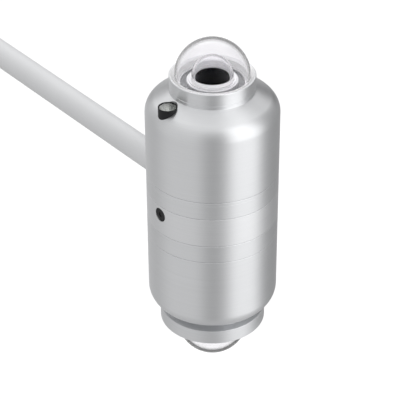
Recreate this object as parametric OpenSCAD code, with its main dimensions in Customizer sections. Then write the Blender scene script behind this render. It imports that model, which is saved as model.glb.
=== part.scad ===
// Albedometer: two pyranometer heads, back to back on a central block, carried by a horizontal rod.
// Frame: the rod's axis is X and its free end points to -X. The origin lies on that axis, in the middle of
// the stretch that a mast clamp grips. The body's axis is vertical at x = axis_x, and +Z is the upper head.

/* [Body] */
// Outer diameter of the cylindrical body
body_d = 68; // [67.6:0.1:68.4]
// Height of the central block's visible band
block_h = 16.2; // [16:0.1:16.6]
// Height of the rod's axis above the lower edge of that band
rod_up = 7.3; // [7.2:0.1:7.6]
// Height of each coupling ring
ring_h = 10; // [9.8:0.1:10.2]
// Height above the rod's axis where the upright wall turns into the shoulder
wall_top = 52.4; // [51.6:0.1:53]
// Radius of the rounded shoulder
shoulder_r = 9.4; // [9:0.1:9.8]
// Chamfer on every edge that meets a seam of the body
seam_c = 0.2; // [0.15:0.05:0.3]

/* [Rod] */
// Outer diameter of the rod
rod_d = 15; // [14.8:0.1:15]
// Wall thickness of the rod's tube
rod_wall = 1.5; // [1.5:0.1:1.7]
// Length of the rod between its free end and the saddle on the block
rod_len = 300; // [200:5:400]
// Distance from the rod's free end to the middle of the clamping stretch
clamp_at = 40; // [30:1:60]

/* [Domes and sensors] */
// Outer radius of the outer glass dome
dome_r = 19.05; // [19:0.01:19.1]
// Thickness of the outer glass dome
dome_t = 1.3; // [1.1:0.05:1.4]
// Outer radius of the inner glass dome
inner_r = 10.5; // [10.4:0.05:10.6]
// Thickness of the inner glass dome
inner_t = 0.9; // [0.7:0.05:1]
// Radius of the black absorber
absorber_r = 8.5; // [8.3:0.05:8.6]
// Outer radius of the collar ring that holds the outer dome
collar_r = 21.65; // [21.4:0.05:21.8]
// How much farther out the lower sensor sits than the upper one
low_dz = 5.3; // [5.2:0.05:5.4]

/* [Glare screen] */
// Outer radius of the glare screen
glare_r = 28; // [27:0.1:29]
// Height of the glare screen
glare_h = 7.9; // [7.6:0.1:8.2]

/* [Level] */
// How far the bubble level sits to the front of the body's axis
level_at = 27; // [26.9:0.1:27.2]
// How far it sits from that axis towards the rod's free end
level_back = 1.3; // [1:0.1:1.6]
// Radius of the level's cup
level_r = 4.85; // [4.7:0.05:4.95]
// Height of the cup's rim above the rod's axis
level_top = 63.75; // [63:0.05:64.2]

/* [Port] */
// Height of the plugged port above the rod's axis
port_z = 3.8; // [3.6:0.1:4]
// Radius of the plug's head
port_r = 3.7; // [3.5:0.05:3.8]

/* [Coupling] */
// Lead of the coupling ring's thread, in each turn
pitch = 1.5; // [1:0.25:2]
// Running clearance between parts that turn or slide
run = 0.05; // [0.03:0.01:0.08]

/* [Hidden] */
$fn = 96;

R = body_d / 2;
rod_x0 = -clamp_at;                 // free end of the rod's tube
rod_x1 = rod_x0 + rod_len;          // end of the tube, at the saddle
saddle_l = 4;                       // saddle's length on the rod's axis
axis_x = rod_x1 + saddle_l + R;     // x of the body's axis

top_face = block_h - rod_up;        // the block's upper face
bot_face = rod_up;                  // the block's lower face, as a distance below the rod's axis
function face(lo) = lo ? bot_face : top_face;
function seam(lo) = face(lo) + ring_h;

tilt = 30;                          // slope of the shoulder's cone from the horizontal
arc_c = R - shoulder_r;             // radius at which the shoulder's arc has its centre
cone_r = arc_c + shoulder_r * sin(tilt);
cone_z = wall_top + shoulder_r * cos(tilt);
boss_z = cone_z + (cone_r - collar_r) * tan(tilt);
boss_top = 66.9;                    // upper housing's boss, on which the dome's collar lands
low_boss = 65.9;                    // seat of the glare screen, below the rod's axis
function dz(lo) = lo ? low_dz : 0;
function seat(lo) = 68.2 + dz(lo);       // foot of the sensor's pillar, from which a head's inner heights are counted
function foot(lo) = lo ? seat(1) : boss_top; // where the dome's collar lands
function deck(lo) = seat(lo) + 1.8;      // top of the sensor body's pillar

plate_t = 5;                        // base plate
spig_r = 20.5;                      // the block's spigots
thread_r = 24;                      // thread between base plate and coupling ring
cavity_r = 30;                      // inside of the housings
plate_az = [30, 150, 270];          // screws of the base plates
sens_az = [90, 210, 330];           // screws of the sensor bodies

// moves a shape from the body's own axis to its place on the rod
module body() { translate([axis_x, 0, 0]) children(); }
// a head's own shapes are drawn pointing up; the lower head is their mirror image
module head(lo) { body() { if (lo) mirror([0, 0, 1]) children(); else children(); } }
// a tube or rod along the rod's axis, between two x positions
module along_x(x0, x1, r) { translate([x0, 0, 0]) rotate([0, 90, 0]) cylinder(h = x1 - x0, r = r); }
module ring_of(rc, a) { rotate_extrude() translate([rc, 0]) circle(r = a, $fn = 32); }
module tube(z0, z1, ri, ro) { rotate_extrude() polygon([[ri, z0], [ro, z0], [ro, z1], [ri, z1]]); }

// ---- rod ----------------------------------------------------------------------------------------

module rod_tube() color([0.84, 0.85, 0.86]) difference() {
  union() {
    along_x(rod_x0 + 0.6, rod_x1 - 0.5, rod_d / 2);
    translate([rod_x0, 0, 0]) rotate([0, 90, 0]) cylinder(h = 0.6, r1 = rod_d / 2 - 0.6, r2 = rod_d / 2);
    translate([rod_x1 - 0.5, 0, 0]) rotate([0, 90, 0]) cylinder(h = 0.5, r1 = rod_d / 2, r2 = rod_d / 2 - 0.4);
  }
  along_x(rod_x0 - 1, rod_x1 + 1, rod_d / 2 - rod_wall);
}

spigot_in = axis_x - 12;            // the spigot's end inside the block
spigot_r = 5.95;
lock_x = axis_x - 23;               // where the lock screw meets the spigot
module rod_spigot() color([0.72, 0.73, 0.74]) difference() {
  union() {
    along_x(rod_x1 - 25, rod_x1 - 0.1, rod_d / 2 - rod_wall - 0.02);
    along_x(rod_x1 - 0.1, spigot_in - 0.8, spigot_r);
    translate([spigot_in - 0.8, 0, 0]) rotate([0, 90, 0]) cylinder(h = 0.8, r1 = spigot_r, r2 = spigot_r - 0.8);
  }
  along_x(rod_x1 - 30, spigot_in + 5, 3.2);
  // groove for the lock screw's tip, and the seal ring's groove
  difference() { along_x(lock_x - 1.35, lock_x + 1.35, 8); along_x(lock_x - 2, lock_x + 2, 5.3); }
  difference() { along_x(axis_x - 30.9, axis_x - 28.9, 8); along_x(axis_x - 32, axis_x - 28, 4.03); }
}
module rod_seal_ring() color([0.1, 0.1, 0.1])
  translate([axis_x - 29.9, 0, 0]) rotate([0, 90, 0]) ring_of(5.0, 0.95);

// the gland's pieces are drawn along +Z, which then points out of the rod's free end
module at_end() { translate([rod_x0, 0, 0]) rotate([0, -90, 0]) children(); }
module gland_body() color([0.16, 0.16, 0.17]) at_end() difference() {
  union() {
    translate([0, 0, -15]) cylinder(h = 15.02, r = rod_d / 2 - rod_wall - 0.03);
    intersection() {
      translate([0, 0, 0.02]) cylinder(h = 5, r = 7.9, $fn = 6);
      translate([0, 0, 0.02]) cylinder(h = 5, r = 7.4);
    }
    translate([0, 0, 5]) cylinder(h = 7, r = 5);
  }
  translate([0, 0, -16]) cylinder(h = 22.1, r = 3.2);
  translate([0, 0, 6]) cylinder(h = 7, r = 4);
}
module gland_nut() color([0.16, 0.16, 0.17]) at_end() difference() {
  intersection() {
    union() {
      translate([0, 0, 5.3]) cylinder(h = 7.4, r = 7.7, $fn = 6);
      translate([0, 0, 12.6]) cylinder(h = 4, r1 = 6.6, r2 = 5.2);
    }
    translate([0, 0, 5.3]) cylinder(h = 11.3, r = 7.3);
  }
  translate([0, 0, 5]) cylinder(h = 7.3, r = 5.03);
  translate([0, 0, 12]) cylinder(h = 5, r = 4);
}
module gland_seal() color([0.08, 0.08, 0.08]) at_end() tube(6.1, 17.1, 2.6, 3.97);

// ---- central block ------------------------------------------------------------------------------

dowel_at = 17.75;
board_z = 7;                        // underside of the junction board
module central_block() color([0.73, 0.74, 0.75]) body() difference() {
  union() {
    rotate_extrude() polygon([
      [15, board_z], [15, top_face + 7.1], [spig_r - 0.4, top_face + 7.1], [spig_r, top_face + 6.7],
      [spig_r, top_face + 6.6], [19.5, top_face + 6.6], [19.5, top_face + 4.7], [spig_r, top_face + 4.7],
      [spig_r, top_face + 3.2], [19.5, top_face + 3.2], [19.5, top_face + 2.15], [spig_r, top_face + 2.15],
      [spig_r, top_face], [R - seam_c, top_face], [R, top_face - seam_c],
      [R, -bot_face + seam_c], [R - seam_c, -bot_face], [spig_r, -bot_face],
      [spig_r, -bot_face - 2.15], [19.5, -bot_face - 2.15], [19.5, -bot_face - 3.2], [spig_r, -bot_face - 3.2],
      [spig_r, -bot_face - 4.7], [19.5, -bot_face - 4.7], [19.5, -bot_face - 6.6], [spig_r, -bot_face - 6.6],
      [spig_r, -bot_face - 6.7], [spig_r - 0.4, -bot_face - 7.1], [11, -bot_face - 7.1], [11, board_z]]);
  }
  // bore for the rod's spigot
  translate([-R - 5, 0, 0]) rotate([0, 90, 0]) cylinder(h = R + 5 - 5, r = 6);
  // the plugged port, with its counterbore
  translate([0, -5, port_z]) rotate([90, 0, 0]) cylinder(h = R, r = 3.03);
  translate([0, -30.6, port_z]) rotate([90, 0, 0]) cylinder(h = 8, r = port_r + 0.08);
  // the lock screw's threaded hole
  translate([-23, 4, 0]) rotate([-90, 0, 0]) cylinder(h = 30, r = 2.52);
  // holes of the junction board's screws
  for (a = [60, -60]) rotate(a) translate([12.9, 0, 3]) cylinder(h = 6, r = 1, $fn = 24);
  // dowel holes, two in each spigot's face
  for (a = [45, 225]) rotate(a) {
    translate([dowel_at, 0, top_face + 1]) cylinder(h = 8, r = 1.25, $fn = 32);
    translate([dowel_at, 0, -bot_face - 9]) cylinder(h = 8, r = 1.25, $fn = 32);
  }
}

module rod_saddle() color([0.73, 0.74, 0.75]) difference() {
  union() {
    along_x(rod_x1 + 0.05, rod_x1 + 0.45, rod_d / 2 - 0.2);
    along_x(rod_x1 + 0.45, rod_x1 + 7, rod_d / 2);
  }
  body() translate([0, 0, -20]) cylinder(h = 40, r = R + 0.02, $fn = 180);
  along_x(rod_x1 - 1, rod_x1 + 9, 6.02);
}

module port_plug() color([0.12, 0.12, 0.13]) body() translate([0, 0, port_z]) rotate([90, 0, 0]) difference() {
  union() {
    translate([0, 0, 31.25]) cylinder(h = 2.1, r = port_r);
    translate([0, 0, 33.35]) cylinder(h = 0.35, r1 = port_r, r2 = port_r - 0.35);
    translate([0, 0, 21]) cylinder(h = 10.3, r = 3);
  }
  translate([0, 0, 33]) cylinder(h = 4, r = 1.4, $fn = 6);
}
module port_plug_seal() color([0.05, 0.05, 0.05])
  body() translate([0, -30.93, port_z]) rotate([90, 0, 0]) ring_of(3.36, 0.31);

module rod_lock_screw() color([0.12, 0.12, 0.13]) translate([lock_x, 0, 0]) rotate([-90, 0, 0]) difference() {
  union() {
    translate([0, 0, 5.45]) cylinder(h = 2, r = 1.2);
    translate([0, 0, 7]) cylinder(h = 1.2, r1 = 1.3, r2 = 2.47);
    translate([0, 0, 8.2]) cylinder(h = 13.8, r = 2.47);
  }
  translate([0, 0, 18.6]) cylinder(h = 5, r = 1.45, $fn = 6);
}

module junction_board() color([0.05, 0.32, 0.18]) body() difference() {
  translate([0, 0, board_z]) cylinder(h = 1.6, r = 14.8);
  translate([0, 0, board_z - 1]) cylinder(h = 4, r = 3);
  for (a = [60, -60]) rotate(a) translate([12.9, 0, board_z - 1]) cylinder(h = 4, r = 1.1, $fn = 24);
}
module junction_sockets() color([0.1, 0.1, 0.11]) body() {
  tube(board_z + 1.6, top_face + 6, 5.15, 6.5);
  tube(-bot_face - 6, board_z, 5.15, 6.5);
}
module junction_screws() color([0.7, 0.7, 0.72]) body()
  for (a = [60, -60]) rotate(a) translate([12.9, 0, 0]) {
    translate([0, 0, 3.4]) cylinder(h = 5.2, r = 1, $fn = 24);
    difference() {
      translate([0, 0, board_z + 1.6]) cylinder(h = 1.2, r = 1.8, $fn = 32);
      translate([-3, -0.25, board_z + 2.2]) cube([6, 0.5, 1]);
    }
  }
module dowel_pins() color([0.75, 0.75, 0.77]) body()
  for (a = [45, 225]) rotate(a) for (s = [0, 1]) translate([dowel_at, 0, 0]) mirror([0, 0, s]) {
    translate([0, 0, face(s) + 1]) cylinder(h = ring_h + 2.6, r = 1.25, $fn = 32);
    translate([0, 0, face(s) + ring_h + 3.6]) cylinder(h = 0.6, r1 = 1.25, r2 = 0.7, $fn = 32);
  }

module snap_ring(lo) body() mirror([0, 0, lo]) difference() {
  tube(face(lo) + 2.2, face(lo) + 3.15, 19.52, 22.5);
  rotate(180) translate([15, -3, face(lo)]) cube([10, 6, 6]);
}
module upper_snap_ring() color([0.3, 0.31, 0.33]) snap_ring(0);
module lower_snap_ring() color([0.3, 0.31, 0.33]) snap_ring(1);
module joint_seal(lo) body() mirror([0, 0, lo]) translate([0, 0, face(lo) + 5.65]) ring_of(20.46, 0.92);
module upper_joint_seal() color([0.06, 0.06, 0.06]) joint_seal(0);
module lower_joint_seal() color([0.06, 0.06, 0.06]) joint_seal(1);

// ---- coupling rings -----------------------------------------------------------------------------
// a ring turns in place on the block, held by the snap ring, and its thread moves the head along Z

module coupling_ring(lo) head(lo) rotate_extrude() polygon([
  [spig_r + 0.1, face(lo) + run], [R - seam_c, face(lo) + run], [R, face(lo) + run + seam_c],
  [R, seam(lo) - run - seam_c], [R - seam_c, seam(lo) - run], [thread_r + run, seam(lo) - run],
  [thread_r + run, face(lo) + 2.1], [spig_r + 0.1, face(lo) + 2.1]]);
module upper_coupling_ring() color([0.74, 0.75, 0.76]) coupling_ring(0);
module lower_coupling_ring() color([0.74, 0.75, 0.76]) coupling_ring(1);

// ---- heads --------------------------------------------------------------------------------------

// cross-section of a housing: wall, rounded shoulder, inner flange for the base plate's screws, roof and boss
module housing_profile(lo, zb) {
  polygon([
    [cavity_r, seam(lo)], [R - seam_c, seam(lo)], [R, seam(lo) + seam_c], [R, wall_top],
    each [for (a = [5 : 5 : 55]) [arc_c + shoulder_r * cos(a), wall_top + shoulder_r * sin(a)]],
    [cone_r, cone_z], [collar_r, boss_z], [collar_r, zb - 0.2], [collar_r - 0.2, zb],
    [20.95, zb], [20.95, zb - 1.15], [19.45, zb - 1.15], [19.45, zb], [18.8, zb], [18.8, 60], [18, 60], [18, 48],
    [cavity_r, 48], [cavity_r, seam(lo) + 12], [24, seam(lo) + 12], [24, seam(lo) + plate_t + 0.1],
    [cavity_r, seam(lo) + plate_t + 0.1]]);
}
module housing(lo) {
  difference() {
    rotate_extrude($fn = 180) housing_profile(lo, lo ? low_boss : boss_top);
    // pocket of the bubble level, in the upper housing only
    if (!lo) translate([-level_back, -level_at, 51.5]) cylinder(h = 30, r = level_r + 0.03);
    for (a = plate_az) rotate(a) translate([27, 0, seam(lo) + 4]) cylinder(h = 6.4, r = 1.51, $fn = 32);
    for (a = sens_az) rotate(a) translate([20, 0, 47]) cylinder(h = 7.4, r = 1.51, $fn = 32);
  }
}
module upper_housing() color([0.74, 0.75, 0.76]) head(0) housing(0);
module lower_housing() color([0.74, 0.75, 0.76]) head(1) housing(1);

// a head's base plate; its thread is drawn as rings one pitch apart
module base_plate(lo) head(lo) difference() {
  rotate_extrude() polygon([
    [5.1, seam(lo) + 0.1], [21.5, seam(lo) + 0.1], [21.5, face(lo) + 3.9], [thread_r - 0.4, face(lo) + 3.9],
    [thread_r, face(lo) + 4.3],
    each [for (i = [0 : floor(5.2 / pitch) - 1]) each let(z = face(lo) + 4.5 + i * pitch)
      [[thread_r, z], [thread_r - 0.5, z + pitch / 2], [thread_r, z + pitch - 0.1]]],
    [thread_r, seam(lo) + 0.1], [cavity_r - 0.05, seam(lo) + 0.1],
    [cavity_r - 0.05, seam(lo) + plate_t + 0.1], [5.1, seam(lo) + plate_t + 0.1]]);
  for (a = plate_az) rotate(a) translate([27, 0, 0]) {
    translate([0, 0, seam(lo) - 1]) cylinder(h = 3.7, r = 2.6, $fn = 32);
    translate([0, 0, seam(lo)]) cylinder(h = 8, r = 1.6, $fn = 32);
  }
  for (a = [45, 225]) rotate(a) translate([dowel_at, 0, seam(lo) - 1])
    cylinder(h = 8, r = 1.25 + run, $fn = 32);
}
module upper_base_plate() color([0.7, 0.71, 0.72]) base_plate(0);
module lower_base_plate() color([0.7, 0.71, 0.72]) base_plate(1);

// socket-head screw pointing up: head from z0 to z0 + h, shank above it
module cap_screw(z0, h, rh, rs, l) difference() {
  union() {
    translate([0, 0, z0]) cylinder(h = h, r = rh, $fn = 32);
    translate([0, 0, z0 + h]) cylinder(h = l, r = rs, $fn = 32);
  }
  translate([0, 0, z0 - 1]) cylinder(h = h * 0.6 + 1, r = rh * 0.5, $fn = 6);
}
module base_screws(lo) head(lo) for (a = plate_az) rotate(a) translate([27, 0, 0])
  cap_screw(seam(lo) + 0.3, 2.4, 2.4, 1.5, 7.5);
module upper_base_screws() color([0.75, 0.75, 0.77]) base_screws(0);
module lower_base_screws() color([0.75, 0.75, 0.77]) base_screws(1);

// the plug that carries the head's signal into the block's socket
module plug(lo) head(lo) difference() {
  union() {
    translate([0, 0, face(lo) + 1.5]) cylinder(h = 0.6, r1 = 4.4, r2 = 5);
    translate([0, 0, face(lo) + 2.1]) cylinder(h = seam(lo) + 5.1 - face(lo) - 2.1, r = 5);
    translate([0, 0, seam(lo) + plate_t + 0.1]) cylinder(h = 1.6, r = 7);
  }
  for (a = [45, 135, 225, 315]) rotate(a) translate([2.6, 0, face(lo)]) cylinder(h = 5, r = 0.6, $fn = 20);
}
module upper_plug() color([0.13, 0.13, 0.14]) plug(0);
module lower_plug() color([0.13, 0.13, 0.14]) plug(1);

// heat sink that carries the sensor: flange under the roof, plug through the bore, pillar on top
module sensor_body(lo) head(lo) difference() {
  rotate_extrude() polygon([
    [3, 60], [11.5, 60], [11.5, 52], [14, 52], [14, 44.5], [23, 44.5], [23, 47.98], [17.4, 47.98],
    [17.4, seat(lo)], [13, seat(lo)], [13, deck(lo)], [7.6, deck(lo)], [7.6, deck(lo) - 2], [3, deck(lo) - 2]]);
  for (a = sens_az) rotate(a) translate([20, 0, 40]) cylinder(h = 12, r = 1.6, $fn = 32);
  for (a = [0, 180]) rotate(a) translate([12.75, 0, 50]) cylinder(h = 6, r = 1, $fn = 24);
}
module upper_sensor_body() color([0.55, 0.56, 0.57]) sensor_body(0);
module lower_sensor_body() color([0.55, 0.56, 0.57]) sensor_body(1);
module sensor_screws(lo) head(lo) for (a = sens_az) rotate(a) translate([20, 0, 0])
  cap_screw(42.1, 2.4, 2.4, 1.5, 9.5);
module upper_sensor_screws() color([0.75, 0.75, 0.77]) sensor_screws(0);
module lower_sensor_screws() color([0.75, 0.75, 0.77]) sensor_screws(1);

module terminal_board(lo) head(lo) difference() {
  union() {
    translate([0, 0, 50.4]) cylinder(h = 1.58, r = 13.8);
    // terminals and two trimming resistors on the underside
    for (x = [-4.5, -1.5, 1.5, 4.5]) translate([x - 1.3, -6, 46.9]) cube([2.6, 5, 3.6]);
    for (x = [-4, 4]) translate([x - 2, 5, 47.6]) cube([4, 3, 2.9]);
  }
  for (a = [0, 180]) rotate(a) translate([12.75, 0, 49]) cylinder(h = 4, r = 1.1, $fn = 24);
}
module upper_terminal_board() color([0.05, 0.32, 0.18]) terminal_board(0);
module lower_terminal_board() color([0.05, 0.32, 0.18]) terminal_board(1);
module board_screws(lo) head(lo) for (a = [0, 180]) rotate(a) translate([12.75, 0, 0])
  cap_screw(49.2, 1.2, 1.2, 1, 5);
module upper_board_screws() color([0.75, 0.75, 0.77]) board_screws(0);
module lower_board_screws() color([0.75, 0.75, 0.77]) board_screws(1);

// leads: two from the thermopile to the board, four from the terminals straight down to the plug
module leads(lo) head(lo) {
  for (x = [-1.4, 1.4]) translate([x, 0, 51.98]) cylinder(h = deck(lo) - 2 - 51.98, r = 0.45, $fn = 20);
  for (x = [-4.5, -1.5, 1.5, 4.5]) translate([x, -3.5, seam(lo) + plate_t + 1.7])
    cylinder(h = 46.9 - seam(lo) - plate_t - 1.7, r = 0.6, $fn = 20);
}
module upper_leads() color([0.65, 0.12, 0.1]) leads(0);
module lower_leads() color([0.65, 0.12, 0.1]) leads(1);

module thermopile(lo) head(lo) translate([0, 0, deck(lo) - 1.98]) cylinder(h = 2.88, r = 7.5);
module upper_thermopile() color([0.85, 0.84, 0.8]) thermopile(0);
module lower_thermopile() color([0.85, 0.84, 0.8]) thermopile(1);
module absorber(lo) head(lo) translate([0, 0, deck(lo) + 0.9]) union() {
  cylinder(h = 1.15, r = absorber_r);
  translate([0, 0, 1.15]) cylinder(h = 0.15, r1 = absorber_r, r2 = absorber_r - 0.15);
}
module upper_absorber() color([0.03, 0.03, 0.03]) absorber(0);
module lower_absorber() color([0.03, 0.03, 0.03]) absorber(1);

// stepped ring round the absorber, with the groove that the inner dome is cemented into
module sensor_ring(lo) head(lo) translate([0, 0, deck(lo)]) rotate_extrude() polygon([
  [7.6, 0], [13, 0], [13, 0.35], [12.7, 0.55], [12, 0.55], [11.9, 0.95], [inner_r + 0.2, 0.95],
  [inner_r + 0.15, 0.5], [inner_r - inner_t - 0.15, 0.5], [inner_r - inner_t - 0.2, 1.35],
  [absorber_r + 0.3, 1.35], [absorber_r + 0.15, 1.2], [absorber_r + 0.15, 0.6], [7.6, 0.6]]);
module upper_sensor_ring() color([0.86, 0.86, 0.86]) sensor_ring(0);
module lower_sensor_ring() color([0.86, 0.86, 0.86]) sensor_ring(1);

// a glass dome: half a spherical shell on a short straight skirt
module dome(zc, skirt, ro, t) translate([0, 0, zc]) difference() {
  union() {
    intersection() {
      sphere(r = ro, $fn = 128);
      translate([0, 0, 0]) cylinder(h = ro + 1, r = ro + 1);
    }
    translate([0, 0, -skirt]) cylinder(h = skirt, r = ro, $fn = 128);
  }
  sphere(r = ro - t, $fn = 128);
  translate([0, 0, -skirt - 1]) cylinder(h = skirt + 1, r = ro - t, $fn = 128);
}
module upper_inner_dome() color([0.8, 0.85, 0.9, 0.3]) head(0) dome(seat(0) + 4.3, 1.99, inner_r, inner_t);
module lower_inner_dome() color([0.8, 0.85, 0.9, 0.3]) head(1) dome(seat(1) + 4.3, 1.99, inner_r, inner_t);
module upper_outer_dome() color([0.8, 0.85, 0.9, 0.3]) head(0) dome(seat(0) + 4.3, 2.98, dome_r, dome_t);
module lower_outer_dome() color([0.8, 0.85, 0.9, 0.3]) head(1) dome(seat(1) + 4.3, 2.98, dome_r, dome_t);

// collar ring of the outer dome, with the threaded spigot that holds it (and the glare screen)
module dome_collar(lo) head(lo) translate([0, 0, seat(lo)]) rotate_extrude() polygon([
  [17.5, -(lo ? 12.6 : 7)], [18.72, -(lo ? 12.6 : 7)], [18.72, foot(lo) - seat(lo) + 0.02],
  [collar_r - 0.25, foot(lo) - seat(lo) + 0.02], [collar_r, foot(lo) - seat(lo) + 0.27],
  [collar_r, 4.75], [collar_r - 0.25, 5], [20.9, 5], [dome_r + 0.1, 4.15], [dome_r + 0.1, 1.3],
  [16.2, 1.3], [16.2, 0.05], [17.5, 0.05]]);
module upper_dome_collar() color([0.78, 0.79, 0.8]) dome_collar(0);
module lower_dome_collar() color([0.78, 0.79, 0.8]) dome_collar(1);

module upper_dome_seal() color([0.06, 0.06, 0.06]) head(0)
  translate([0, 0, boss_top - 0.58]) ring_of(20.2, 0.56);
module glare_screen_seal() color([0.06, 0.06, 0.06]) head(1)
  translate([0, 0, low_boss - 0.58]) ring_of(20.2, 0.56);
module lower_dome_seal() color([0.06, 0.06, 0.06]) head(1)
  translate([0, 0, seat(1) - 0.58]) ring_of(20.2, 0.56);

// the glare screen: a dished ring clamped between the lower housing's boss and the collar
module glare_screen() color([0.74, 0.75, 0.76]) head(1) rotate_extrude($fn = 180) polygon([
  [18.8, low_boss + 0.02], [glare_r - 0.3, low_boss + 0.02], [glare_r, low_boss + 0.32],
  [glare_r, low_boss + glare_h - 0.25], [glare_r - 0.25, low_boss + glare_h], [glare_r - 1.2, low_boss + glare_h],
  [23.9, low_boss + 3.4], [22.3, low_boss + 3.2], [22.3, seat(1) - 0.2], [22.1, seat(1)],
  [20.95, seat(1)], [20.95, seat(1) - 1.15], [19.45, seat(1) - 1.15], [19.45, seat(1)], [18.8, seat(1)]]);

// ---- bubble level -------------------------------------------------------------------------------

module at_level() { body() translate([-level_back, -level_at, 0]) children(); }
module level_cup() color([0.06, 0.06, 0.07]) at_level() difference() {
  union() {
    translate([0, 0, 51.52]) cylinder(h = level_top - 51.52 - 0.3, r = level_r);
    translate([0, 0, level_top - 0.3]) cylinder(h = 0.3, r1 = level_r, r2 = level_r - 0.25);
  }
  translate([0, 0, 57]) cylinder(h = 20, r = 4);
  translate([0, 0, level_top - 1]) cylinder(h = 20, r = 4.35);
}
module level_fluid() color([0.75, 0.85, 0.55, 0.7]) at_level() difference() {
  translate([0, 0, 57]) cylinder(h = level_top - 1 - 57, r = 4);
  // the hollow under the glass in which the bubble moves
  translate([0, 0, level_top - 2.1]) cylinder(h = 5, r = 3.7);
}
module level_bubble() color([0.9, 0.95, 0.9, 0.4]) at_level()
  translate([0, 0, level_top - 1.55]) rotate_extrude() polygon([
    [0, -0.45], [1.0, -0.4], [1.45, -0.2], [1.6, 0.1], [1.5, 0.4], [1.25, 0.5], [0, 0.5]]);
module level_glass() color([0.85, 0.9, 0.9, 0.35]) at_level()
  translate([0, 0, level_top - 1]) cylinder(h = 0.75, r = 4.33);

rod_tube();
rod_spigot();
rod_seal_ring();
gland_body();
gland_nut();
gland_seal();
central_block();
rod_saddle();
port_plug();
port_plug_seal();
rod_lock_screw();
junction_board();
junction_sockets();
junction_screws();
dowel_pins();
upper_snap_ring();
lower_snap_ring();
upper_joint_seal();
lower_joint_seal();
upper_coupling_ring();
lower_coupling_ring();
upper_housing();
upper_base_plate();
upper_base_screws();
upper_plug();
upper_sensor_body();
upper_sensor_screws();
upper_terminal_board();
upper_board_screws();
upper_leads();
upper_thermopile();
upper_absorber();
upper_sensor_ring();
upper_inner_dome();
upper_outer_dome();
upper_dome_collar();
upper_dome_seal();
level_cup();
level_fluid();
level_bubble();
level_glass();
lower_housing();
lower_base_plate();
lower_base_screws();
lower_plug();
lower_sensor_body();
lower_sensor_screws();
lower_terminal_board();
lower_board_screws();
lower_leads();
lower_thermopile();
lower_absorber();
lower_sensor_ring();
lower_inner_dome();
lower_outer_dome();
lower_dome_collar();
lower_dome_seal();
glare_screen();
glare_screen_seal();
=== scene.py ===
import json
import math
import bmesh
import bpy
import numpy as np
from mathutils import Matrix, Vector


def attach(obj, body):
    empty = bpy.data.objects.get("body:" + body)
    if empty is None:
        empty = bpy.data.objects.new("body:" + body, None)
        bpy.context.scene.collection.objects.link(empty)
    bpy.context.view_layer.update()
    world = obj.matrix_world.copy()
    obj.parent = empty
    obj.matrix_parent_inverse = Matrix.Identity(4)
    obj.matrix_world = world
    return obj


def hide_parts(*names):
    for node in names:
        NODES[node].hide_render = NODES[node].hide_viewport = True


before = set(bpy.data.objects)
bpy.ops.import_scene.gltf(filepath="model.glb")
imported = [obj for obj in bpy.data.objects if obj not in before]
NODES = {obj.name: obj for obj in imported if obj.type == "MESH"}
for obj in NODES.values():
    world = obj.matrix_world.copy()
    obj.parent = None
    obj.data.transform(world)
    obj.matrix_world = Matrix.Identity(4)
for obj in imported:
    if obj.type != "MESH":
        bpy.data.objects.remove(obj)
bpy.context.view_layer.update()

# Everything below is drawn in millimetres in each piece's own axes and scaled to metres when the mesh is made.
# The body's axis is vertical at x = 298 mm, the rod's axis is X, and z is measured from the rod's axis.
scene = bpy.context.scene
MM = 0.001
AX = 298.0

# ---- meshes ------------------------------------------------------------------------------------


def corner_path(pts, closed=True):
    """Corners (r, z) or (r, z, fillet radius) to short segments (p0, p1, n0, n1) with a normal at each end."""
    pts = [(p[0], p[1], p[2] if len(p) > 2 else 0.0) for p in pts]
    area = sum(a[0] * b[1] - b[0] * a[1] for a, b in zip(pts, pts[1:] + pts[:1]))
    if closed and area < 0:
        pts = pts[::-1]
    n = len(pts)
    ends = []  # for each corner: arriving point, leaving point, arc segments
    for i, (x, y, f) in enumerate(pts):
        if f <= 0 or (not closed and i in (0, n - 1)):
            ends.append(((x, y), (x, y), []))
            continue
        a = np.array(pts[i - 1][:2]) - (x, y)
        b = np.array(pts[(i + 1) % n][:2]) - (x, y)
        la, lb = np.hypot(*a), np.hypot(*b)
        a, b = a / la, b / lb
        half = math.acos(max(-1, min(1, float(a @ b)))) / 2
        t = min(f / math.tan(half), la * 0.499, lb * 0.499)
        rad = t * math.tan(half)
        mid = (a + b) / np.hypot(*(a + b))
        c = np.array((x, y)) + mid * rad / math.sin(half)
        p, q = np.array((x, y)) + a * t, np.array((x, y)) + b * t
        a0 = math.atan2(*(p - c)[::-1])
        turn = math.atan2(*(q - c)[::-1]) - a0
        turn = (turn + math.pi) % (2 * math.pi) - math.pi
        steps = max(3, int(abs(turn) / math.radians(7.5) + 0.5)) if rad > 1 else 4
        side = 1.0 if turn > 0 else -1.0  # outward on a convex corner, inward on a concave one
        arc = []
        for k in range(steps):
            t0, t1 = a0 + turn * k / steps, a0 + turn * (k + 1) / steps
            u0, u1 = np.array((math.cos(t0), math.sin(t0))), np.array((math.cos(t1), math.sin(t1)))
            arc.append((tuple(c + u0 * rad), tuple(c + u1 * rad), tuple(u0 * side), tuple(u1 * side)))
        ends.append((tuple(p), tuple(q), arc))
    segs = []
    for i in range(n if closed else n - 1):
        segs += ends[i][2]
        p, q = ends[i][1], ends[(i + 1) % n][0]
        d = (q[0] - p[0], q[1] - p[1])
        l = math.hypot(*d)
        if l > 1e-7:
            nrm = (d[1] / l, -d[0] / l)
            segs.append((p, q, nrm, nrm))
    return segs


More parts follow.
